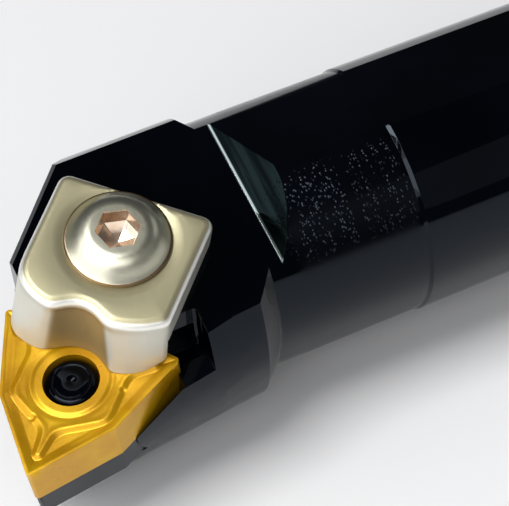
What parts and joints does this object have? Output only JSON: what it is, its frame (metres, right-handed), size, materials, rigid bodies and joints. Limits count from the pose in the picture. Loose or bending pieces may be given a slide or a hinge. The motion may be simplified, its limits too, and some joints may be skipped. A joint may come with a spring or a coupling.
{
  "type": "indexable boring bar",
  "caption": "Black round-shank boring bar with flats, an angled head, a six-sided gold carbide insert on a shim, a lock pin and a screwed top clamp with two feet.",
  "frame": {"origin": "centre of the shank's flat rear end face, on the shank's axis", "axes": "+X along the shank from the cutting head to the rear end, +Z square to the top flat, the cutting tip toward -X and -Y"},
  "size_m": [0.2003, 0.0304, 0.0295],
  "materials": {
    "black_steel": "black oxide over ground and turned steel",
    "dark_carbide": "ground carbide",
    "gold_carbide": "satin gold coating",
    "black_pin": "black oxide",
    "satin_clamp": "satin nickel",
    "polished_screw": "polished nickel",
    "spring_steel": "bright spring wire"
  },
  "bodies": {
    "bar_body": {"bar": "black_steel", "shim": "dark_carbide", "insert": "gold_carbide", "lock_pin": "black_pin", "clamp_spring": "spring_steel"},
    "clamp_body": {"clamp": "satin_clamp"},
    "screw_body": {"clamp_screw": "polished_screw"}
  },
  "joints": [
    {"name": "clamp_lift", "type": "slide", "parent": "bar_body", "child": "clamp_body", "axis": [0, -0.3338, 0.9426], "range_m": [0, 0.0024]},
    {"name": "screw_turn", "type": "hinge", "parent": "clamp_body", "child": "screw_body", "pos_m": [-0.1853, -0.00457, 0.00834], "axis": [0, -0.3338, 0.9426], "range_deg": [0, 1080]}
  ],
  "couplings": [
    {"joint": "screw_turn", "follows": "clamp_lift", "rad_per_m": 7854}
  ]
}
